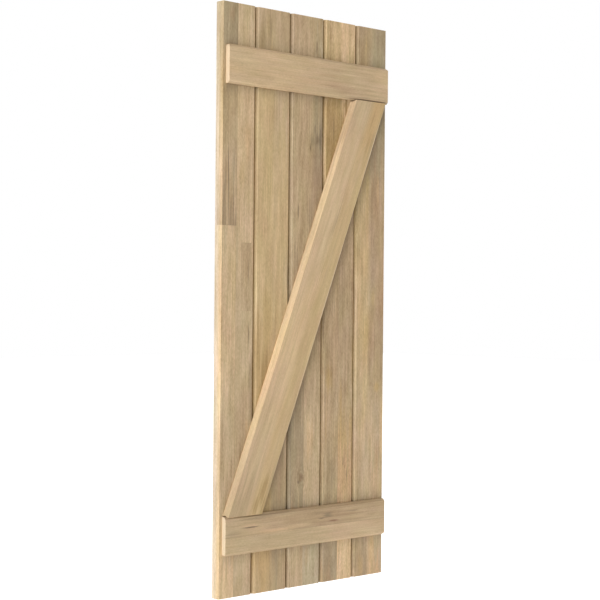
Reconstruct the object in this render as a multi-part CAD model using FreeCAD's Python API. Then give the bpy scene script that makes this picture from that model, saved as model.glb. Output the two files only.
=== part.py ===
import FreeCAD, Part
import math
import os

from FreeCAD import Vector

# Board and batten shutter in millimetres: vertical tongue-and-groove boards, a batten across
# the front near each end, and a diagonal brace cut between the battens, all screwed together
# from the back.
# X runs to the right as seen from the front, Z is up, the front faces -Y, and the origin is
# at the middle of the flat back that lies against the wall.

# Boards
panel_height = 1092.2
board_count = 5
board_width = 88.9             # full board, from joint to joint
outer_board_width = 82.55      # first and last board, ripped to make up the panel's width
board_thickness = 19.05
joint_bevel = 4.4              # V joint on the face, on each side of a joint
face_gap = 2.0                 # open line at the bottom of a V joint
back_gap = 0.8                 # open line between two boards at the back
tongue_thickness = 5.5
tongue_length = 6.5            # beyond the joint line
tongue_clearance = 0.25        # around the tongue in its groove

# Battens
batten_width = 72.0
batten_thickness = 9.525       # the brace is as thick
batten_margin = 78.0           # from the end of the boards to the near edge of a batten
batten_left_inset = 6.8        # from the side of the panel to the batten's end
batten_right_inset = 1.6
batten_bevel = 4.5             # along both long front edges
corner_radius = 5.0            # corners that point away from the brace
end_easing = 0.6               # front edge of each sawn end

# Brace
brace_width = 91.0
brace_bevel = 7.2              # along both long front edges
brace_joint_gap = 2.4          # between the brace's ends and the battens
brace_tip = 0.8                # blunt edge where an end laps over a batten's bevel

# Screws, driven from the back so that none shows on the front
screw_hole = 4.3               # clearance through the boards
screw_countersink = 9.0        # across its mouth at the back
board_screw_inset = 22.0       # from the sides of a board to its two screws
batten_screw_inset = 18.0      # from the long edges of a batten to its screws
brace_screw_count = 6
brace_screw_spacing = 160.0    # along the middle of the brace

# Worked out from the sizes above
panel_width = 2 * outer_board_width + (board_count - 2) * board_width
panel_left = -panel_width / 2
panel_right = panel_width / 2
panel_bottom = -panel_height / 2
face = -board_thickness
front = face - batten_thickness
batten_left = panel_left + batten_left_inset
batten_right = panel_right - batten_right_inset
batten_outer = panel_height / 2 - batten_margin
batten_inner = batten_outer - batten_width
brace_middle = Vector((batten_left + batten_right) / 2, 0, 0)


def prism(points, direction):
    outline = Part.makePolygon(points + points[:1])
    return Part.Face(outline).extrude(direction)


def plain_side(x):
    return [(x, 0), (x, face)]


def tongue_side(joint):
    back_shoulder = joint - back_gap / 2
    face_shoulder = joint - face_gap / 2
    tip = joint + tongue_length
    middle = face / 2
    tongue_back = middle + tongue_thickness / 2
    tongue_front = middle - tongue_thickness / 2
    return [
        (back_shoulder, 0),
        (back_shoulder, tongue_back),
        (tip, tongue_back),
        (tip, tongue_front),
        (face_shoulder, tongue_front),
        (face_shoulder, face + joint_bevel),
        (face_shoulder - joint_bevel, face),
    ]


def groove_side(joint):
    back_shoulder = joint + back_gap / 2
    face_shoulder = joint + face_gap / 2
    floor = joint + tongue_length + tongue_clearance
    middle = face / 2
    groove_back = middle + tongue_thickness / 2 + tongue_clearance
    groove_front = middle - tongue_thickness / 2 - tongue_clearance
    return [
        (back_shoulder, 0),
        (back_shoulder, groove_back),
        (floor, groove_back),
        (floor, groove_front),
        (face_shoulder, groove_front),
        (face_shoulder, face + joint_bevel),
        (face_shoulder + joint_bevel, face),
    ]


def board(number, left, right):
    left_side = plain_side(left) if number == 1 else groove_side(left)
    right_side = plain_side(right) if number == board_count else tongue_side(right)
    section = left_side + right_side[::-1]
    points = [Vector(x, y, panel_bottom) for x, y in section]
    return prism(points, Vector(0, 0, panel_height))


def board_sides():
    # Left and right joint line of each board
    sides = []
    left = panel_left
    for number in range(1, board_count + 1):
        outer = number in (1, board_count)
        right = left + (outer_board_width if outer else board_width)
        sides.append((left, right))
        left = right
    return sides


def boards():
    made = {}
    for number, (left, right) in enumerate(board_sides(), 1):
        made[f"board_{number}"] = board(number, left, right)
    return made


def batten_bar():
    # Moulded section with both long front edges bevelled, run from end to end
    section = [
        (face, batten_inner),
        (front + batten_bevel, batten_inner),
        (front, batten_inner + batten_bevel),
        (front, batten_outer - batten_bevel),
        (front + batten_bevel, batten_outer),
        (face, batten_outer),
    ]
    points = [Vector(batten_left, y, z) for y, z in section]
    return prism(points, Vector(batten_right - batten_left, 0, 0))


def batten_outline():
    # Front view with the two outer corners rounded
    reach = corner_radius * (1 - math.sqrt(0.5))
    low_left = Vector(batten_left, face, batten_inner)
    low_right = Vector(batten_right, face, batten_inner)
    right_start = Vector(batten_right, face, batten_outer - corner_radius)
    right_middle = Vector(batten_right - reach, face, batten_outer - reach)
    right_end = Vector(batten_right - corner_radius, face, batten_outer)
    left_start = Vector(batten_left + corner_radius, face, batten_outer)
    left_middle = Vector(batten_left + reach, face, batten_outer - reach)
    left_end = Vector(batten_left, face, batten_outer - corner_radius)
    edges = [
        Part.makeLine(low_left, low_right),
        Part.makeLine(low_right, right_start),
        Part.Arc(right_start, right_middle, right_end).toShape(),
        Part.makeLine(right_end, left_start),
        Part.Arc(left_start, left_middle, left_end).toShape(),
        Part.makeLine(left_end, low_left),
    ]
    return Part.Face(Part.Wire(edges)).extrude(Vector(0, -batten_thickness, 0))


def batten_plan():
    # View from above with the front edges of the sawn ends eased
    plan = [
        (batten_left, face),
        (batten_left, front + end_easing),
        (batten_left + end_easing, front),
        (batten_right - end_easing, front),
        (batten_right, front + end_easing),
        (batten_right, face),
    ]
    points = [Vector(x, y, batten_inner) for x, y in plan]
    return prism(points, Vector(0, 0, batten_width))


def batten():
    return batten_bar().common(batten_outline()).common(batten_plan())


def brace_end_cut():
    # Length of the brace's level end cut: its lower left and upper right corners lie
    # on the ends of the battens, and its width is measured square to its edges
    span = batten_right - batten_left
    rise = 2 * batten_inner
    reach = math.sqrt(rise ** 2 + span ** 2 - brace_width ** 2)
    return brace_width * (rise * reach - brace_width * span) / (rise ** 2 - brace_width ** 2)


def brace_slope():
    run = batten_right - batten_left - brace_end_cut()
    return Vector(run, 0, 2 * batten_inner)


def brace_direction():
    slope = brace_slope()
    return slope / slope.Length


def brace_bar():
    # Bevelled section run along the diagonal, long enough to be cut at both ends
    along = brace_direction()
    across = Vector(along.z, 0, -along.x)
    length = brace_slope().Length + 2 * brace_width
    half = brace_width / 2
    section = [
        (-half, face),
        (-half, front + brace_bevel),
        (-half + brace_bevel, front),
        (half - brace_bevel, front),
        (half, front + brace_bevel),
        (half, face),
    ]
    start = brace_middle - along * (length / 2)
    points = [start + across * side + Vector(0, y, 0) for side, y in section]
    return prism(points, along * length)


def space_between_battens():
    # The ends of the brace are undercut to lap over the bevels of the battens
    seat = batten_inner - brace_joint_gap
    tip = seat + batten_bevel - brace_tip
    half_section = [
        (face, seat),
        (front + batten_bevel, seat),
        (front + brace_tip, tip),
        (front, tip),
    ]
    section = half_section + [(y, -z) for y, z in half_section[::-1]]
    points = [Vector(panel_left, y, z) for y, z in section]
    return prism(points, Vector(panel_width, 0, 0))


def diagonal_brace():
    return brace_bar().common(space_between_battens())


def batten_screws():
    # Two screws on the diagonal wherever a batten crosses a board
    places = []
    for left, right in board_sides():
        outer = Vector(left + board_screw_inset, 0, batten_outer - batten_screw_inset)
        inner = Vector(right - board_screw_inset, 0, batten_inner + batten_screw_inset)
        for place in (outer, inner):
            places.append(place)
            places.append(Vector(place.x, 0, -place.z))
    return places


def brace_screws():
    step = brace_direction() * brace_screw_spacing
    first = brace_middle - step * ((brace_screw_count - 1) / 2)
    return [first + step * number for number in range(brace_screw_count)]


def screw_bore(place):
    # Countersunk clearance hole through a board
    mouth = screw_countersink / 2
    clear = screw_hole / 2
    section = [
        (0, 0),
        (mouth, 0),
        (clear, clear - mouth),
        (clear, face),
        (0, face),
    ]
    points = [place + Vector(radius, y, 0) for radius, y in section]
    outline = Part.makePolygon(points + points[:1])
    return Part.Face(outline).revolve(place, Vector(0, 1, 0), 360)


def drilled(whole):
    bores = Part.makeCompound([screw_bore(place) for place in batten_screws() + brace_screws()])
    return {node: shape.cut(bores) for node, shape in whole.items()}


def shutter():
    made = drilled(boards())
    upper = batten()
    made["top_batten"] = upper
    made["bottom_batten"] = upper.mirror(Vector(0, 0, 0), Vector(0, 0, 1))
    made["diagonal_brace"] = diagonal_brace()
    return made


os.makedirs("parts", exist_ok=True)
for node, shape in shutter().items():
    solid = shape.Solids[0]
    solid.exportStep(f"parts/{node}.step")
    print(node, "valid" if solid.isValid() else "not valid", round(solid.Volume / 1000, 1), "cm3")
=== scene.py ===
import math
import bpy
from mathutils import Matrix, Vector


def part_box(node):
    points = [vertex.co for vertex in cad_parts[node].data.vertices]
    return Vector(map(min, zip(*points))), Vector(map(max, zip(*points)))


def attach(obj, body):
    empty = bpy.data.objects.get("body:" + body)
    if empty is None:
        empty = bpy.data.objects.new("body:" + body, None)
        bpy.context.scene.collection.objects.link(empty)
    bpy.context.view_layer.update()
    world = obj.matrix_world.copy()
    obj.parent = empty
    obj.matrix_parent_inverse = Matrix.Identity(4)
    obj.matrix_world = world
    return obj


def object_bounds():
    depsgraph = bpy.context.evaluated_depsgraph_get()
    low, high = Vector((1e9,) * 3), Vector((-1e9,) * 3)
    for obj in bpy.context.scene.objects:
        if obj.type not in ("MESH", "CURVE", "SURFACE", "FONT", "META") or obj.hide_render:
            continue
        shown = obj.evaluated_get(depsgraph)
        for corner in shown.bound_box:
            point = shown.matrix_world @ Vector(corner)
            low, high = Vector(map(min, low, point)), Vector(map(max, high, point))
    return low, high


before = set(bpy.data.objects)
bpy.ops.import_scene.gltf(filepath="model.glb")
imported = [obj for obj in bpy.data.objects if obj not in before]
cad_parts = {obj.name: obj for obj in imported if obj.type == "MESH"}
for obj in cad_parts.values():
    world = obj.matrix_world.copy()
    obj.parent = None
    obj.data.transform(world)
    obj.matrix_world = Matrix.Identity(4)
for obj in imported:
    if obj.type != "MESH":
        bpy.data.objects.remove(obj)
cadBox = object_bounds()

mm = 0.001


class Wire:  # a shader socket that takes part in sums
    def __init__(self, tree, out=None):
        self.tree = tree
        self.out = out

    def node(self, kind, settings, sockets, output=0):
        made = self.tree.nodes.new(kind)
        for name, value in settings.items():
            if name == "stops":
                setStops(made.color_ramp, value)
            else:
                setattr(made, name, value)
        for name, value in sockets.items():
            if isinstance(value, Wire):
                self.tree.links.new(value.out, made.inputs[name])
            else:
                made.inputs[name].default_value = value
        return Wire(self.tree, made.outputs[output] if made.outputs else None)

    def calc(self, operation, *terms):
        return self.node("ShaderNodeMath", {"operation": operation}, dict(enumerate(terms)))

    def __add__(self, other):
        return self.calc("ADD", self, other)

    def __radd__(self, other):
        return self.calc("ADD", other, self)

    def __sub__(self, other):
        return self.calc("SUBTRACT", self, other)

    def __rsub__(self, other):
        return self.calc("SUBTRACT", other, self)

    def __mul__(self, other):
        return self.calc("MULTIPLY", self, other)

    def __rmul__(self, other):
        return self.calc("MULTIPLY", other, self)

    def __abs__(self):
        return self.calc("ABSOLUTE", self)


def setStops(ramp, stops):  # stops: place from 0 to 1, colour
    while len(ramp.elements) < len(stops):
        ramp.elements.new(0.5)
    for element, (place, colour) in zip(ramp.elements, stops):
        element.position = place
        element.color = colour


def smooth(value, low, high):  # 0 at low, 1 at high, eased between
    ends = {"Value": value, "From Min": low, "From Max": high}
    return value.node("ShaderNodeMapRange", {"interpolation_type": "SMOOTHSTEP"}, ends)


def blend(under, over, share):  # lays one colour over another
    return share.node("ShaderNodeMix", {"data_type": "RGBA"}, {0: share, 6: under, 7: over}, 2)


def vector(operation, where, *others, output=0):
    terms = dict(enumerate((where,) + others))
    return where.node("ShaderNodeVectorMath", {"operation": operation}, terms, output)


def shaded(colour, level):  # lighter above 1, darker below
    return level.node("ShaderNodeVectorMath", {"operation": "SCALE"}, {0: colour, "Scale": level})


def tinted(colour, levels):  # a level each for red, green and blue
    return vector("MULTIPLY", colour, point(*levels))


def point(x, y, z):
    return x.node("ShaderNodeCombineXYZ", {}, {0: x, 1: y, 2: z})


def scaled(where, factors, shift=(0, 0, 0)):
    return vector("MULTIPLY_ADD", where, factors, shift)


def length(where):
    return vector("LENGTH", where, output=1)


def dot(where, direction):
    return vector("DOT_PRODUCT", where, direction, output=1)


def noise(where, detail, roughness=0.5):
    settings = {"Vector": where, "Scale": 1.0, "Detail": detail, "Roughness": roughness}
    return where.node("ShaderNodeTexNoise", {}, settings)


def linear(colour):  # from the colour as it looks on screen
    return tuple(((c + 0.055) / 1.055) ** 2.4 for c in colour) + (1.0,)


def newMaterial(name):
    material = bpy.data.materials.new(name)
    material.use_nodes = True
    material.node_tree.nodes.clear()
    return material, Wire(material.node_tree)


# How the brace lies between the battens
braceWidth = 91 * mm
lowBatten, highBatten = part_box("bottom_batten"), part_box("top_batten")


def braceLean():  # out of plumb
    span = highBatten[1].x - highBatten[0].x
    rise = highBatten[0].z - lowBatten[1].z
    reach = math.sqrt(rise ** 2 + span ** 2 - braceWidth ** 2)
    endCut = braceWidth * (rise * reach - braceWidth * span) / (rise ** 2 - braceWidth ** 2)
    return math.atan2(span - endCut, rise)


# Planed hardwood: the tones a mill mixes in one run of glued staves, from light to dark
tones = {name: linear(colour) for name, colour in dict(
    chalk=(0.90, 0.83, 0.72),
    cream=(0.87, 0.745, 0.578),
    honey=(0.845, 0.725, 0.56),
    pale=(0.815, 0.705, 0.55),
    sapwood=(0.79, 0.745, 0.685),
    rose=(0.79, 0.68, 0.535),
    straw=(0.79, 0.68, 0.505),
    amber=(0.80, 0.665, 0.50),
    tan=(0.77, 0.67, 0.525),
    ochre=(0.765, 0.645, 0.455),
    brown=(0.74, 0.637, 0.495),
    sage=(0.735, 0.66, 0.53),
    mauve=(0.71, 0.603, 0.465),
    olive=(0.695, 0.60, 0.45),
    gold=(0.69, 0.575, 0.385),
    grey=(0.665, 0.585, 0.457),
    clay=(0.64, 0.545, 0.42),
    moss=(0.54, 0.48, 0.37),
    rust=(0.55, 0.40, 0.30),
    umber=(0.44, 0.36, 0.27),
).items()}

grainLook = dict(
    sway=6 * mm,  # how far a grain line wanders
    toneRun=0.3,  # how far a tone creeps along a streak
    fraying=1.3,  # how ragged a streak's rim is
    streakCore=0.2,  # part of a streak that has its full tone
    staveShift=(1.7, 2.3),  # how far apart in the tree two staves were cut
    glueLine=0.5 * mm,
    glueShare=0.22,
    ringGap=3.4 * mm,  # growth ring spacing
    ringWobble=14 * mm,
    ringCentre=(24 * mm, 45 * mm),  # heart of the tree, across and behind
    ringRise=0.03,  # how the heart leans away along a board
    fibreLines=(1.0, 2.2),  # lines come and go along the grain
    fibreFlecks=0.75,
    depth=dict(band=0.45, streak=0.3, mottle=0.4, fibre=0.7, ring=0.05),  # of light and dark growth
    browning=(0.87, 1.0, 1.28),  # dark growth is browner than light growth
    warmth=0.1,  # how far the hue wanders
    greening=0.14,
    yellowing=0.22,
    pits=(0.1, 0.25),  # where a pore opens
    pitShare=0.2,
    endTone="umber",  # sawn ends
    endShare=0.04,
    endRings=0.15,
    endTurn=(0.6, 0.9),  # how far a face looks along the grain
    highlightReach=1.6 * mm,  # painted highlight along the arrises
    highlightLevel=0.3,
    highlightTurn=(0.99, 0.85),  # how far an edge turns away
    roughness=0.6,
    roughSpread=0.25,
    relief=0.25 * mm,
    reliefStrength=0.35,
    reliefShares=(-0.6, -0.4),  # fibres and pores
    gloss=0.35,
)

# Waves of growth: how many in a metre across and along the grain
waves = dict(
    slow=dict(across=9, along=2.4, detail=1),
    drift=dict(across=16, along=3, detail=2),
    band=dict(across=45, along=6, detail=2),
    mottle=dict(across=110, along=22, detail=1),
    streak=dict(across=170, along=7, detail=2, roughness=0.6),
    line=dict(across=420, along=6, detail=2, roughness=0.6),
    clear=dict(across=70, along=16, detail=1, shift=(5, 1, 3)),
    fleck=dict(across=560, along=180, detail=1),
    pore=dict(across=1700, along=90, detail=1),
    warm=dict(across=35, along=8, detail=2, shift=(9, 2, 4)),
    tinge=dict(across=40, along=14, detail=2, shift=(2, 8, 5)),
    cool=dict(across=45, along=10, detail=2, shift=(3, 5, 7)),
)

knotLook = dict(
    layers=[  # tone, rim, core, share
        ("clay", 2.6, 0.6, 0.2),
        ("rust", 1.5, 0.2, 0.5),
        ("umber", 0.7, 0.1, 0.35),
    ],
    wobble=(14 * mm, 24 * mm),
    bendReach=4,  # in sizes of the knot
    bend=0.7,
    turns=6.0,  # rings of grain round it
    turnReach=4.5,
    turnDepth=0.06,
)

# Painted shade beside the battens and the brace, on the boards that carry them, darker where their shadows
# fall
paintedShadeLook = dict(
    level=0.27,
    reach=29 * mm,
    under=0.4,  # how far it goes on beneath a piece, as part of its reach
    edgeFade=(60 * mm, 20 * mm),  # from an edge of the top batten
    belowTop=0.5,  # more painted shade under the top batten
    aboveTop=0.25,  # less above it
    leftOfBrace=0.3,  # of what lies on its right
    braceFade=0.2,  # of its width
    battenFade=2 * mm,
    endFade=(-2 * mm, 4 * mm),  # at the left ends of the battens
    depths=(-10 * mm, -17 * mm),  # none deep in the joints
)

# Painted shade in the V joints, places from the joint line: where it starts and where it is full
jointLook = dict(
    level=0.15,
    rightArris=(9.5 * mm, 3.5 * mm),
    bevels=(7.5 * mm, 5 * mm),
    bevelDepths=(-18.5 * mm, -14.5 * mm),
    bevelShare=0.4,
    leftArris=(8 * mm, 5.5 * mm),
    gap=(3 * mm, 1 * mm),
    depths=(-10 * mm, -13 * mm),
    shadeTint=(0.7, 1.0, 1.2),  # how much each takes of red, green and blue
    arrisTint=(1.0, 0.75, 0.4),
    gapTint=(0.0, 0.0, 0.1),
)


def stave(left, right, low, high, toneAt, soft=0.2):  # in mm, tones by height, glued if hard edged
    run = high - low
    stops = [((height - low) / run, tones[name]) for height, name in sorted(toneAt.items())]
    box = dict(left=left * mm, right=right * mm, low=low * mm, high=high * mm)
    return dict(box, stops=stops, soft=soft * mm, glued=soft < 1)


def mark(tone, across, along, wide, tall, share):  # a soft streak, half sizes in mm
    return dict(tone=tone, at=(across * mm, along * mm), half=(wide * mm, tall * mm), share=share)


def wave(grain, name):  # swings round 0
    size = waves[name]
    factors = (size["across"], size["across"], size["along"])
    where = scaled(grain, factors, size.get("shift", (0, 0, 0)))
    return noise(where, size["detail"], size.get("roughness", 0.5)) - 0.5


def staveEdge(across, along, strip):  # below 0 inside the strip
    middle = [(strip["left"] + strip["right"]) / 2, (strip["low"] + strip["high"]) / 2]
    sideways = abs(across - middle[0]) - (strip["right"] - middle[0])
    lengthways = abs(along - middle[1]) - (strip["high"] - middle[1])
    return sideways.calc("MAXIMUM", sideways, lengthways)


def staveTone(along, creep, strip):
    height = (along - strip["low"] + creep) * (1 / (strip["high"] - strip["low"]))
    return along.node("ShaderNodeValToRGB", {"stops": strip["stops"]}, {"Fac": height})


def spotReach(where, at, half):  # 0 at the middle of a spot, 1 on its rim
    factors = (1 / half[0], 1 / half[1], 0)
    return length(scaled(where, factors, (-at[0] / half[0], -at[1] / half[1], 0)))


def layStaves(wood, across, along):  # each is cut from another length of timber
    first, step = grainLook["staveShift"]
    shift = along + wood["cut"]
    strips = []
    for i, strip in enumerate(wood["staves"]):
        edge = staveEdge(across, along, strip)
        inside = smooth(edge, strip["soft"], -strip["soft"])
        strips.append((strip, edge, inside))
        if strip["glued"]:
            shift = shift + inside * (first + step * i)
    return strips, shift


def growGrain(wood, across, along, deep, shift):  # bent a little by slow growth, more round knots
    look = grainLook
    bent = across + wave(point(across, deep, shift), "slow") * look["sway"]
    for knot in wood.get("knots", []):
        half = [knotLook["bendReach"] * size for size in knot["half"]]
        near = smooth(spotReach(point(across, along, 0), knot["at"], half), 1, 0)
        bent = bent - near * (across - knot["at"][0]) * knotLook["bend"]
    place = point(bent, deep, shift)
    grain = {name: wave(place, name) for name in waves if name != "slow"}
    steady, change = look["fibreLines"]
    lines = grain["line"] * (grain["clear"] * change + steady)
    grain["fibre"] = lines + grain["fleck"] * look["fibreFlecks"]
    heartAcross, heartBehind = look["ringCentre"]
    heart = point(bent - heartAcross, deep - heartBehind - shift * look["ringRise"], 0)
    fromHeart = length(heart) + grain["drift"] * look["ringWobble"]
    grain["ring"] = fromHeart.calc("SINE", fromHeart * (2 * math.pi / look["ringGap"])) * 0.5
    return bent, grain


def paintStaves(strips, along, grain):
    creep = (grain["streak"] + grain["drift"]) * grainLook["toneRun"]
    colour = tones["tan"]  # covered by the staves
    for strip, edge, inside in strips:
        colour = blend(colour, staveTone(along, creep, strip), inside)
    for strip, edge, inside in strips:
        if strip["glued"]:
            glue = smooth(abs(edge), grainLook["glueLine"], 0) * grainLook["glueShare"]
            colour = blend(colour, tones["umber"], glue)
    return colour


def paintSapwood(colour, bark, across, deep):  # pale young wood towards the bark
    side = bark["side"]
    skin = smooth(across, side + bark["skin"], side) * bark["skinShare"]
    young = smooth(deep, -bark["thick"], 0) * smooth(across, side + bark["reach"], side) * bark["share"]
    return blend(blend(colour, tones["honey"], skin), tones["sapwood"], young)


def paintMarks(colour, marks, bent, along, grain):
    frayed = (grain["streak"] + grain["line"]) * grainLook["fraying"]
    where = point(bent, along, 0)
    for spot in marks:
        reach = spotReach(where, spot["at"], spot["half"]) + frayed
        share = smooth(reach, 1, grainLook["streakCore"]) * spot["share"]
        colour = blend(colour, tones[spot["tone"]], share)
    return colour


def paintKnots(colour, knots, across, along, grain):
    wobble = knotLook["wobble"]
    where = point(across + grain["mottle"] * wobble[0], along + grain["band"] * wobble[1], 0)
    swirl = 0.0
    for knot in knots:
        reach = spotReach(where, knot["at"], knot["half"])
        for tone, rim, core, share in knotLook["layers"]:
            colour = blend(colour, tones[tone], smooth(reach, rim, core) * share)
        turns = reach.calc("SINE", reach * knotLook["turns"])
        swirl = swirl + turns * smooth(reach, knotLook["turnReach"], 1) * knotLook["turnDepth"]
    return colour, swirl


def paintFigure(colour, wood, grain, swirl):  # light and dark growth, and a hue that wanders
    look = grainLook
    figure = sum(grain[name] * depth for name, depth in look["depth"].items())
    figure = figure * wood["figure"] + swirl
    colour = tinted(colour, [1 + figure * share for share in look["browning"]])
    red = 1 + grain["warm"] * (look["warmth"] * wood["hue"])
    green = 1 + grain["tinge"] * look["greening"]
    blue = 1 + grain["cool"] * (look["yellowing"] * wood["hue"])
    return tinted(colour, [red, green, blue])


def paintedShadeBeside(place):  # painted shade: 1 on a board against a batten or the brace, 0 away from them
    look = paintedShadeLook
    low, high = highBatten
    x, y, z = [dot(place, axis) for axis in ((1, 0, 0), (0, 1, 0), (0, 0, 1))]
    fade = (look["reach"], -look["under"] * look["reach"])
    fromBatten = abs(abs(z) - (low.z + high.z) / 2) - (high.z - low.z) / 2
    near = smooth(fromBatten, *fade) * smooth(x - low.x, *look["endFade"])
    near = near * (1 + smooth(abs(z - low.z), *look["edgeFade"]) * look["belowTop"])
    near = near * (1 - smooth(abs(z - high.z), *look["edgeFade"]) * look["aboveTop"])
    slope = (math.cos(braceLean()), 0, -math.sin(braceLean()))
    fromMiddle = dot(place, slope) - slope[0] * (low.x + high.x) / 2
    turn = look["braceFade"] * braceWidth
    onRight = smooth(fromMiddle, -turn, turn)
    side = onRight * (1 - look["leftOfBrace"]) + look["leftOfBrace"]
    under = smooth(abs(fromMiddle) - braceWidth / 2, *fade) * side
    between = smooth(abs(z), low.z + look["battenFade"], low.z)
    return near.calc("MAXIMUM", near, under * between) * smooth(y, *look["depths"])


def jointShading(place, leftShare):  # what the painted shade in the joints leaves of red, green and blue
    look = jointLook
    half = (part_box("board_3")[0].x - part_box("board_2")[0].x) / 2  # from a board's middle to its joints
    x, y = dot(place, (1, 0, 0)), dot(place, (0, 1, 0))
    atFront = smooth(y, *look["depths"])
    side = x.calc("WRAP", x, half, -half)
    zones = dict(rightArris=side, bevels=abs(side), leftArris=0 - side, gap=abs(side))
    near = {}
    for name, where in zones.items():
        near[name] = smooth(where, half - look[name][0], half - look[name][1])
    down = near["bevels"] * smooth(y, *look["bevelDepths"]) * look["bevelShare"]
    grooveShade = side.calc("MAXIMUM", near["rightArris"], down) * look["level"] * atFront
    left = near["leftArris"] * leftShare * atFront
    gap = near["gap"] * atFront
    tints = zip(look["shadeTint"], look["arrisTint"], look["gapTint"])
    return [1 - grooveShade * ofShade - left * ofArris - gap * ofGap for ofShade, ofArris, ofGap in tints]


def paintEdges(colour, wood, facing, grainAxis, ring):  # sawn ends show rings, arrises get a painted highlight
    look = grainLook
    end = smooth(abs(dot(facing, grainAxis)), *look["endTurn"])
    share = (ring + 0.5) * look["endRings"] + wood.get("endShare", look["endShare"])
    colour = blend(colour, tones[wood.get("endTone", look["endTone"])], end * share)
    rounded = facing.node("ShaderNodeBevel", {"samples": 4}, {"Radius": look["highlightReach"]})
    edgeHighlight = smooth(dot(rounded, facing), *look["highlightTurn"])
    return shaded(colour, 1 + edgeHighlight * look["highlightLevel"])


def hardwood(name, wood, lean, middle):
    look = grainLook
    material, paint = newMaterial(name)
    place = paint.node("ShaderNodeTexCoord", {}, {}, "Object")
    facing = paint.node("ShaderNodeNewGeometry", {}, {}, "Normal")
    grainAxis = (math.sin(lean), 0, math.cos(lean))
    crossAxis = (math.cos(lean), 0, -math.sin(lean))
    along = dot(place, grainAxis) - Vector(grainAxis).dot(middle)
    across = dot(place, crossAxis) - Vector(crossAxis).dot(middle)
    deep = dot(place, (0, 1, 0))

    # From the staves up to the dirt, each on top of the last
    strips, shift = layStaves(wood, across, along)
    bent, grain = growGrain(wood, across, along, deep, shift)
    colour = paintStaves(strips, along, grain)
    if "sapwood" in wood:
        colour = paintSapwood(colour, wood["sapwood"], across, deep)
    colour = paintMarks(colour, wood["marks"], bent, along, grain)
    colour, swirl = paintKnots(colour, wood.get("knots", []), across, along, grain)
    colour = paintFigure(colour, wood, grain, swirl)
    if "leftArris" in wood:  # only the boards get the painted shade beside the pieces and in the joints
        colour = shaded(colour, 1 - paintedShadeBeside(place) * paintedShadeLook["level"])
        colour = tinted(colour, jointShading(place, wood["leftArris"]))
    pits = smooth(grain["pore"], *look["pits"])
    colour = blend(colour, tones["umber"], pits * look["pitShare"])
    colour = paintEdges(colour, wood, facing, grainAxis, grain["ring"])

    rough = look["roughness"] + grain["fibre"] * look["roughSpread"]
    ofFibre, ofPits = look["reliefShares"]
    relief = {"Height": grain["fibre"] * ofFibre + pits * ofPits}
    relief.update({"Strength": look["reliefStrength"], "Distance": look["relief"]})
    normal = paint.node("ShaderNodeBump", {}, relief)
    shell = {"Base Color": colour, "Roughness": rough, "Normal": normal}
    shell["Specular IOR Level"] = look["gloss"]
    shader = paint.node("ShaderNodeBsdfPrincipled", {}, shell)
    paint.node("ShaderNodeOutputMaterial", {}, {"Surface": shader})
    return material


# Sanded edges: faces that turn less than flat are one face, edges that turn more than sharp are eased
arrisLook = dict(
    weld=0.001 * mm,
    flat=1,  # degrees
    sharp=25,
    steps=2,
)


def easeArrises(piece, width):
    weld = piece.modifiers.new("oneSkin", "WELD")
    weld.merge_threshold = arrisLook["weld"]
    flats = piece.modifiers.new("wholeFaces", "DECIMATE")
    flats.decimate_type = "DISSOLVE"
    flats.angle_limit = math.radians(arrisLook["flat"])
    ease = piece.modifiers.new("easedArris", "BEVEL")
    ease.width = width
    ease.segments = arrisLook["steps"]
    ease.limit_method = "ANGLE"
    ease.angle_limit = math.radians(arrisLook["sharp"])


def dressPiece(node, wood, lean):
    low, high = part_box(node)
    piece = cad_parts[node]
    piece.data.materials.clear()
    piece.data.materials.append(hardwood(node + "Wood", wood, lean, (low + high) / 2))
    easeArrises(piece, wood["easing"])
    print("dressed", node)


# Boards: glued up from staves, places from the board's own middle in mm
# cut is the place in the tree, figure how strongly growth shows, hue how far the colour wanders,
# leftArris the painted shade on the bevel along that edge
boardOne = dict(
    easing=0.5 * mm,
    cut=0.4,
    figure=1.0,
    hue=0.6,
    leftArris=0.0,
    sapwood=dict(side=-43.5 * mm, skin=1 * mm, skinShare=0.35, reach=9 * mm, thick=19 * mm, share=0.6),
    staves=[
        stave(-60, -9, -560, 137, {
            -540: "honey", -450: "honey", -390: "tan", -200: "tan", -80: "pale", 90: "pale",
            137: "tan",
        }),
        stave(-60, -9, 137, 560, {
            137: "clay", 150: "grey", 175: "mauve", 225: "tan", 390: "olive", 470: "grey",
            540: "grey",
        }),
        stave(-9, 60, -560, 560, {
            -540: "tan", -330: "tan", -230: "brown", -130: "tan", 30: "tan", 200: "pale",
            380: "pale", 540: "tan",
        }),
        stave(4, 28, -20, 106, {-20: "tan", 20: "tan", 60: "brown", 106: "mauve"}),
    ],
    marks=[
        mark("grey", -45, 530, 6, 110, 0.5),
        mark("umber", -29.5, 245, 1.9, 55, 0.65),
        mark("sage", -16, 245, 7, 48, 0.6),
        mark("mauve", -24, 525, 8, 22, 0.7),
        mark("amber", 17, 295, 11, 62, 0.7),
        mark("rust", 24, 252, 12, 60, 0.2),
        mark("umber", 24, -65, 2.4, 30, 0.6),
        mark("umber", 21, 50, 2.2, 34, 0.4),
        mark("amber", 20, -235, 7, 26, 0.6),
        mark("clay", 29, -165, 11, 75, 0.7),
        mark("mauve", 0, -272, 10, 32, 0.8),
        mark("mauve", 22, -178, 9, 44, 0.7),
        mark("mauve", 36, 200, 6, 70, 0.5),
        mark("umber", -11, 197, 1.8, 20, 0.5),
        mark("honey", 4, 236, 8, 50, 0.6),
    ],
)
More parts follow.
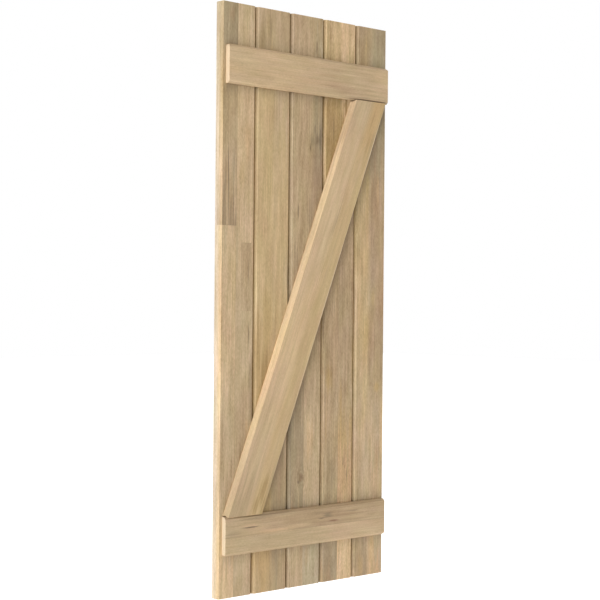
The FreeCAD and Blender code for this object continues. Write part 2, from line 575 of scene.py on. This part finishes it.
boardTwo = dict(
    easing=0.5 * mm,
    cut=1.9,
    figure=0.8,
    hue=0.35,
    leftArris=0.08,
    staves=[
        stave(-60, 0, -560, 560, {
            -540: "straw", -490: "ochre", -320: "ochre", -120: "ochre", 0: "straw",
            390: "straw", 470: "olive", 540: "tan",
        }, 10),
        stave(0, 60, -560, 560, {
            -540: "brown", -500: "olive", -450: "grey", -350: "olive", -270: "mauve",
            -150: "amber", 0: "straw", 180: "straw", 380: "tan", 470: "brown", 540: "brown",
        }, 10),
    ],
    marks=[
        mark("umber", -12, 512, 2.5, 30, 0.3),
        mark("gold", -20, 512, 6, 32, 0.25),
        mark("gold", -22, -130, 14, 75, 0.8),
        mark("amber", 10, -40, 12, 60, 0.4),
        mark("rose", 32, 345, 6, 30, 0.7),
        mark("ochre", -18, -45, 20, 80, 0.9),
        mark("brown", 31, 55, 9, 60, 0.6),
        mark("umber", 37, 35, 5.5, 52, 0.75),
        mark("brown", -45, 430, 4, 120, 0.6),
        mark("tan", 36, -280, 8, 45, 0.95),
        mark("pale", 2, 250, 14, 90, 0.6),
    ],
)
boardThree = dict(
    easing=0.5 * mm,
    cut=3.1,
    figure=1.05,
    hue=0.45,
    leftArris=0.12,
    staves=[
        stave(-60, 60, -560, 560, {
            -540: "tan", -470: "tan", -410: "grey", -250: "grey", -100: "mauve", 150: "brown",
            380: "brown", 540: "brown",
        }),
        stave(-8, 60, -560, 40, {
            -540: "sage", -450: "sage", -390: "tan", -200: "tan", -130: "mauve", 40: "mauve",
        }),
        stave(12, 60, 40, 600, {
            40: "mauve", 120: "mauve", 250: "clay", 355: "grey", 450: "olive", 500: "sage",
            540: "olive",
        }, 8),
    ],
    marks=[
        mark("umber", 19, 490, 2.2, 16, 0.7),
        mark("moss", 32, 315, 11, 44, 0.9),
        mark("umber", 25, 310, 11, 17, 0.65),
        mark("moss", 37, 234, 3.5, 34, 0.6),
        mark("mauve", -45, -515, 4, 40, 0.7),
        mark("clay", -45, -315, 4, 70, 0.6),
        mark("umber", 32, 322, 5, 26, 0.45),
        mark("umber", 4.5, 295, 2.6, 13, 0.85),
        mark("umber", 16.2, 330, 2.6, 16, 0.9),
        mark("moss", 10, 308, 9, 15, 0.6),
        mark("umber", -27, 170, 2.8, 19, 0.7),
        mark("amber", 20, 150, 5, 45, 0.5),
        mark("moss", -27, -300, 4, 24, 0.35),
        mark("clay", 8, 172, 11, 50, 0.8),
        mark("clay", -32, 80, 8, 50, 0.8),
        mark("clay", -37, 162, 4, 26, 0.7),
        mark("cream", 9, -262, 13, 62, 0.8),
        mark("pale", 2, -146, 10, 40, 0.5),
        mark("tan", -18, 264, 9, 42, 0.7),
        mark("mauve", -28, 328, 12, 52, 0.5),
        mark("clay", 10, 318, 12, 34, 0.3),
        mark("pale", 2, -490, 8, 25, 0.5),
        mark("moss", -12, -318, 3, 18, 0.4),
        mark("mauve", -24, -335, 18, 80, 0.4),
        mark("umber", -17, -347, 2.4, 5, 0.8),
    ],
    knots=[
        dict(at=(-14 * mm, -341 * mm), half=(8 * mm, 9 * mm)),
    ],
)
boardFour = dict(
    easing=0.5 * mm,
    cut=4.7,
    figure=1.2,
    hue=0.9,
    leftArris=0.05,
    staves=[
        stave(-60, -4, -560, 560, {
            -540: "mauve", -500: "grey", -450: "grey", -330: "olive", -215: "brown",
            -60: "mauve", 80: "mauve", 230: "gold", 390: "gold", 460: "straw", 540: "straw",
        }),
        stave(-4, 60, -560, 560, {
            -540: "cream", -440: "cream", -390: "amber", -310: "amber", -270: "ochre",
            -215: "brown", -60: "mauve", 200: "mauve", 340: "gold", 440: "honey", 540: "honey",
        }),
    ],
    marks=[
        mark("gold", -32, 320, 7, 70, 0.5),
        mark("honey", -31, 520, 8, 36, 0.9),
        mark("honey", -45, 290, 3.4, 95, 0.9),
        mark("honey", -45, 520, 3.4, 40, 0.7),
        mark("clay", 37, 512, 4, 40, 0.9),
        mark("gold", 37, -296, 4, 40, 0.7),
        mark("gold", 8, 384, 7, 14, 0.9),
        mark("clay", -45, -50, 3.4, 55, 0.7),
        mark("straw", 30, 45, 3, 14, 0.6),
        mark("gold", -30, -152, 12, 48, 1.0),
        mark("gold", -37, -250, 4, 65, 0.6),
        mark("clay", -16, -14, 7, 42, 0.6),
        mark("honey", -4, 510, 7, 42, 0.6),
        mark("gold", 37, -130, 5, 70, 0.7),
        mark("grey", -17, -340, 9, 55, 0.5),
        mark("umber", 22, -340, 2.4, 20, 0.5),
        mark("umber", 12, -315, 2, 12, 0.5),
        mark("umber", -22, 340, 2.4, 30, 0.4),
    ],
)
boardFive = dict(
    easing=0.5 * mm,
    cut=6.2,
    figure=1.05,
    hue=1.6,
    leftArris=0.1,
    staves=[
        stave(-60, 0, -560, 560, {
            -540: "olive", -460: "mauve", -400: "tan", -200: "tan", -60: "straw", 120: "straw",
            280: "olive", 540: "olive",
        }, 8),
        stave(0, 60, -560, 560, {
            -545: "honey", -515: "amber", -485: "tan", -200: "tan", -100: "mauve", 130: "mauve",
            220: "mauve", 300: "grey", 540: "grey",
        }, 8),
    ],
    marks=[
        mark("ochre", -14, 512, 3, 26, 0.6),
        mark("straw", 22, 228, 7, 40, 0.7),
        mark("ochre", 10, 5, 10, 22, 0.5),
        mark("mauve", 20, -95, 9, 60, 0.6),
        mark("ochre", 22, -172, 12, 14, 0.9),
        mark("sage", 13, -310, 6, 48, 0.7),
        mark("amber", 25, -320, 2, 80, 0.6),
        mark("honey", -22, -136, 12, 30, 0.8),
        mark("pale", 6, -282, 14, 62, 0.5),
        mark("cream", 37, -270, 9, 85, 0.9),
        mark("pale", -36, -540, 7, 14, 0.6),
        mark("brown", -37, -15, 6, 80, 0.9),
        mark("ochre", -20, -525, 12, 25, 0.5),
    ],
)
boards = [boardOne, boardTwo, boardThree, boardFour, boardFive]
for number, wood in enumerate(boards, 1):
    dressPiece("board_%d" % number, wood, 0.0)

# Battens: grain runs along them, across is measured downwards
topBatten = dict(
    easing=0.8 * mm,
    cut=7.3,
    figure=0.58,
    hue=0.35,
    endTone="chalk",
    endShare=0.33,
    staves=[
        stave(-60, 60, -230, 230, {
            -210: "rose", -100: "pale", 0: "rose", 80: "tan", 150: "tan", 210: "rose",
        }),
    ],
    marks=[
        mark("brown", -14, 60, 5, 60, 0.6),
        mark("mauve", 20, 110, 14, 90, 0.6),
        mark("mauve", 10, 140, 10, 42, 0.6),
        mark("clay", 29, 140, 4, 55, 0.6),
        mark("honey", 11, -198, 13, 34, 0.6),
        mark("pale", 4, -60, 6, 70, 0.5),
        mark("pale", -16, 198, 18, 36, 0.9),
        mark("mauve", 30, 185, 4, 42, 0.8),
        # painted shade in the seam over the brace's top end
        mark("umber", 33.5, 140, 3, 110, 0.7),
    ],
)
bottomBatten = dict(
    easing=0.8 * mm,
    cut=8.8,
    figure=0.6,
    hue=0.4,
    endTone="chalk",
    endShare=0.5,
    staves=[
        stave(-60, 2, -230, 230, {
            -210: "tan", -100: "brown", 0: "mauve", 100: "mauve", 210: "tan",
        }),
        stave(2, 60, -230, 230, {-210: "tan", 0: "tan", 80: "rose", 210: "rose"}),
    ],
    marks=[
        mark("moss", -4, -195, 8, 30, 0.3),
        # painted shade in the seam under the brace's lower end
        mark("umber", -32.5, -115, 3, 88, 0.5),
        mark("olive", -20, -150, 4, 60, 0.6),
        mark("pale", -26, -90, 4, 50, 0.6),
        mark("cream", -1, -95, 6, 85, 0.6),
        mark("pale", -16, -149, 4, 36, 0.7),
        mark("pale", -9, -125, 8, 36, 0.8),
        mark("pale", -4, -25, 6, 42, 0.7),
        mark("clay", -24, 20, 4, 40, 0.5),
        mark("moss", -20, 120, 3, 30, 0.4),
        mark("pale", -8, 130, 4, 40, 0.4),
        mark("mauve", -17, 168, 8, 50, 0.6),
        mark("pale", 18, -200, 14, 26, 0.6),
        mark("umber", -12.5, -150, 1.8, 32, 0.95),
        mark("clay", -29, -115, 7, 75, 0.8),
        mark("mauve", -26, -90, 8, 46, 0.7),
        mark("moss", -18, 50, 6, 20, 0.8),
        mark("rust", -6, 67, 3.2, 17, 0.75),
        mark("umber", -12, 34, 2.2, 13, 0.6),
    ],
)
dressPiece("top_batten", topBatten, math.pi / 2)
dressPiece("bottom_batten", bottomBatten, math.pi / 2)

# Brace: grain runs up its slope
brace = dict(
    easing=0.8 * mm,
    cut=9.6,
    figure=0.55,
    hue=0.4,
    staves=[
        stave(-70, 70, -480, 480, {
            -440: "brown", -395: "rose", -290: "pale", -130: "honey", 0: "pale", 260: "pale",
            340: "rose", 430: "tan",
        }),
        stave(6, 80, -500, 500, {-430: "straw", 0: "straw", 200: "straw", 430: "ochre"}, 9),
    ],
    marks=[
        mark("gold", 25, -370, 11, 42, 0.9),
        mark("gold", 17, -406, 7, 26, 0.9),
        mark("olive", 36, -348, 6, 46, 0.5),
        mark("gold", 36, -402, 8, 36, 0.7),
        # painted shade from the top batten on the brace's left bevel, near its top end
        mark("mauve", -43, 360, 8, 110, 0.8),
        # painted highlight along the brace's right arris
        mark("chalk", 37.8, 0, 1.8, 430, 0.4),
        mark("chalk", 37.6, 320, 2, 120, 0.8),
        mark("mauve", -45.5, 310, 4, 140, 0.8),
        mark("brown", -45.5, -50, 4, 80, 0.7),
        mark("brown", -44, 130, 5, 160, 0.7),
        mark("gold", 17, 395, 3, 42, 0.6),
        mark("ochre", 25, 380, 9, 42, 0.5),
        mark("pale", 24, -270, 10, 70, 0.4),
        mark("gold", 22, 352, 3, 46, 0.4),
        mark("pale", 17, 256, 11, 60, 0.9),
        mark("honey", 15, 248, 12, 24, 0.5),
        mark("tan", -37, -334, 7, 62, 0.6),
        mark("brown", -27, 372, 8, 36, 0.5),
        mark("olive", 32, 352, 3.4, 48, 0.6),
        mark("pale", 13, 304, 12, 57, 0.6),
        mark("tan", 16, 100, 6, 80, 0.4),
        mark("brown", 2, 170, 7, 52, 0.85),
    ],
)
dressPiece("diagonal_brace", brace, braceLean())

# Screws: flat heads sunk into the back, driven into the battens and the brace
screws = dict(
    head=7.6 * mm,
    rim=0.3 * mm,
    shank=3.6 * mm,
    long=25.4 * mm,
    tip=6 * mm,
    point=0.3 * mm,
    sunk=0.25 * mm,  # below the back
    crossReach=2.1 * mm,
    crossArm=0.5 * mm,
    crossDeep=1.6 * mm,
    crossFloor=0.6,  # width of the recess at its bottom, as part of its mouth
    sides=48,
    sharp=30,  # degrees
    turn=1.7,  # from one to the next, so that no two stop alike
    jointGap=0.8 * mm,
    fromBoardSide=22 * mm,
    fromBattenEdge=18 * mm,
    onBrace=6,
    braceStep=160 * mm,
)


def screwPlaces():
    places = []
    corners = [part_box("board_%d" % number) for number in range(1, len(boards) + 1)]
    joints = [low.x - screws["jointGap"] / 2 for low, high in corners[1:]]
    lefts = [corners[0][0].x] + joints
    rights = joints + [corners[-1][1].x]
    high = highBatten[1].z - screws["fromBattenEdge"]
    low = highBatten[0].z + screws["fromBattenEdge"]
    for left, right in zip(lefts, rights):
        for side in (1, -1):
            places.append((left + screws["fromBoardSide"], side * high))
            places.append((right - screws["fromBoardSide"], side * low))
    middle = (highBatten[0].x + highBatten[1].x) / 2
    for i in range(screws["onBrace"]):
        up = (i - (screws["onBrace"] - 1) / 2) * screws["braceStep"]
        places.append((middle + up * math.sin(braceLean()), up * math.cos(braceLean())))
    return places


def crossRim(angle):  # outline of the cross recess
    tiny = 1e-9  # no division by 0 along the arms
    wide, narrow = abs(math.cos(angle)) + tiny, abs(math.sin(angle)) + tiny
    reach, arm = screws["crossReach"], screws["crossArm"]
    return max(min(reach / wide, arm / narrow), min(arm / wide, reach / narrow))


def screwRings(turn):  # rings of points from the bottom of the recess to the tip
    back = -screws["sunk"]
    under = back - screws["rim"]
    neck = under - (screws["head"] - screws["shank"]) / 2
    end = back - screws["long"]
    angles = [2 * math.pi * i / screws["sides"] for i in range(screws["sides"])]
    cross = [crossRim(angle) for angle in angles]
    floor = [screws["crossFloor"] * r for r in cross]
    rings = [(floor, back - screws["crossDeep"]), (cross, back)]
    for across, y in [
        (screws["head"], back),
        (screws["head"], under),
        (screws["shank"], neck),
        (screws["shank"], end + screws["tip"]),
        (screws["point"], end),
    ]:
        rings.append(([across / 2] * screws["sides"], y))
    return [
        [(r * math.cos(angle + turn), y, r * math.sin(angle + turn)) for r, angle in zip(radii, angles)]
        for radii, y in rings
    ]


def makeScrews():
    points, faces = [], []
    sides = screws["sides"]
    for number, (x, z) in enumerate(screwPlaces()):
        rings = screwRings(screws["turn"] * number)
        start = len(points)
        points += [(x + px, py, z + pz) for ring in rings for px, py, pz in ring]
        for level in range(len(rings) - 1):
            for i in range(sides):
                near = start + level * sides + i
                beside = start + level * sides + (i + 1) % sides
                faces.append((near, beside, beside + sides, near + sides))
        faces.append(tuple(start + i for i in reversed(range(sides))))
        faces.append(tuple(start + (len(rings) - 1) * sides + i for i in range(sides)))
    mesh = bpy.data.meshes.new("backScrews")
    mesh.from_pydata(points, [], faces)
    mesh.shade_smooth()
    mesh.set_sharp_from_angle(angle=math.radians(screws["sharp"]))
    mesh.materials.append(zincPlate())
    piece = bpy.data.objects.new("backScrews", mesh)
    bpy.context.scene.collection.objects.link(piece)
    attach(piece, "root")
    print("drove", len(screwPlaces()), "screws")


zinc = dict(
    bright=(0.83, 0.82, 0.79),
    stained=(0.72, 0.68, 0.58),
    stainWaves=260,  # in a metre
    stainLimits=(0.45, 0.7),
    stainShare=0.6,
    cloudWaves=900,
    cloudDark=0.85,
    cloudLight=0.3,
    roughness=0.3,
    roughSpread=0.25,
)


def zincPlate():
    material, paint = newMaterial("zincPlate")
    place = paint.node("ShaderNodeTexCoord", {}, {}, "Object")
    cloud = noise(scaled(place, [zinc["cloudWaves"]] * 3), 3)
    stain = smooth(noise(scaled(place, [zinc["stainWaves"]] * 3), 2), *zinc["stainLimits"])
    colour = blend(linear(zinc["bright"]), linear(zinc["stained"]), stain * zinc["stainShare"])
    colour = shaded(colour, zinc["cloudDark"] + cloud * zinc["cloudLight"])
    rough = zinc["roughness"] + cloud * zinc["roughSpread"]
    shell = {"Base Color": colour, "Roughness": rough, "Metallic": 1.0}
    shader = paint.node("ShaderNodeBsdfPrincipled", {}, shell)
    paint.node("ShaderNodeOutputMaterial", {}, {"Surface": shader})
    return material


makeScrews()

# Studio: pale floor below the hanging shutter, white all round, light mostly from the left
studio = dict(
    around=0.16,  # even light from all round
    floorDrop=0.9,
    floorSize=60.0,
    floorTone=0.9,
    floorRough=0.9,
    floorLift=0.4,
)
lamps = dict(
    leftLight=dict(come=(-0.945, -0.325, 0.0), level=1.38, spread=40),
    topLight=dict(come=(-0.1, -0.45, 0.88), level=0.1, spread=60),
    backLight=dict(come=(0.15, 0.57, 0.81), level=0.9, spread=60),
)


def seenDirectly(paint):  # 1 for what the camera, a gloss or glass looks at
    names = ("Is Camera Ray", "Is Glossy Ray", "Is Transmission Ray")
    camera, gloss, glass = [paint.node("ShaderNodeLightPath", {}, {}, name) for name in names]
    return paint.calc("MAXIMUM", paint.calc("MAXIMUM", camera, gloss), glass)


def makeWorld():
    world = bpy.data.worlds.new("whiteRoom")
    world.use_nodes = True
    world.node_tree.nodes.clear()
    paint = Wire(world.node_tree)
    white = (1, 1, 1, 1)
    light = paint.node("ShaderNodeBackground", {}, {"Color": white, "Strength": studio["around"]})
    view = paint.node("ShaderNodeBackground", {}, {"Color": white, "Strength": 1.0})
    both = paint.node("ShaderNodeMixShader", {}, {0: seenDirectly(paint), 1: light, 2: view})
    paint.node("ShaderNodeOutputWorld", {}, {"Surface": both})
    bpy.context.scene.world = world


def makeFloor():
    half = studio["floorSize"] / 2
    level = cadBox[0].z - studio["floorDrop"]
    mesh = bpy.data.meshes.new("floor")
    corners = [(-half, -half, level), (half, -half, level), (half, half, level), (-half, half, level)]
    mesh.from_pydata(corners, [], [(0, 1, 2, 3)])
    floor = bpy.data.objects.new("floor", mesh)
    bpy.context.scene.collection.objects.link(floor)
    material, paint = newMaterial("paleFloor")
    tone = studio["floorTone"]
    glow = blend((0, 0, 0, 1), (1, 1, 1, 1), seenDirectly(paint))
    shell = {"Base Color": (tone, tone, tone, 1), "Roughness": studio["floorRough"]}
    shell.update({"Emission Color": glow, "Emission Strength": studio["floorLift"]})
    shader = paint.node("ShaderNodeBsdfPrincipled", {}, shell)
    paint.node("ShaderNodeOutputMaterial", {}, {"Surface": shader})
    mesh.materials.append(material)


def makeLamp(name, come, level, spread):
    lamp = bpy.data.lights.new(name, "SUN")
    lamp.energy = level * math.pi
    lamp.angle = math.radians(spread)
    holder = bpy.data.objects.new(name, lamp)
    bpy.context.scene.collection.objects.link(holder)
    holder.rotation_euler = Vector(come).to_track_quat("Z", "Y").to_euler()


bpy.context.scene.view_settings.view_transform = "Standard"
makeWorld()
makeFloor()
for name, lamp in lamps.items():
    makeLamp(name, **lamp)
print("studio lit")

# Camera: level with the middle of the shutter, 44 degrees round to its left
viewpoint = dict(
    place=(-2.0309, -2.1240, -0.0043),
    turn=0.763295,  # radians: round the upright, up, and about the line of sight
    rise=0.001919,
    tilt=0.008561,
    lens=91.439,
    sensor=36.0,
)


def makeCamera():
    camera = bpy.data.cameras.new("camera")
    camera.sensor_width = viewpoint["sensor"]
    camera.lens = viewpoint["lens"]
    eye = bpy.data.objects.new("camera", camera)
    bpy.context.scene.collection.objects.link(eye)
    turn = Matrix.Rotation(-viewpoint["turn"], 4, "Z")
    rise = Matrix.Rotation(math.pi / 2 + viewpoint["rise"], 4, "X")
    tilt = Matrix.Rotation(viewpoint["tilt"], 4, "Z")
    eye.matrix_world = Matrix.Translation(viewpoint["place"]) @ turn @ rise @ tilt
    bpy.context.scene.camera = eye


makeCamera()
print("camera placed")
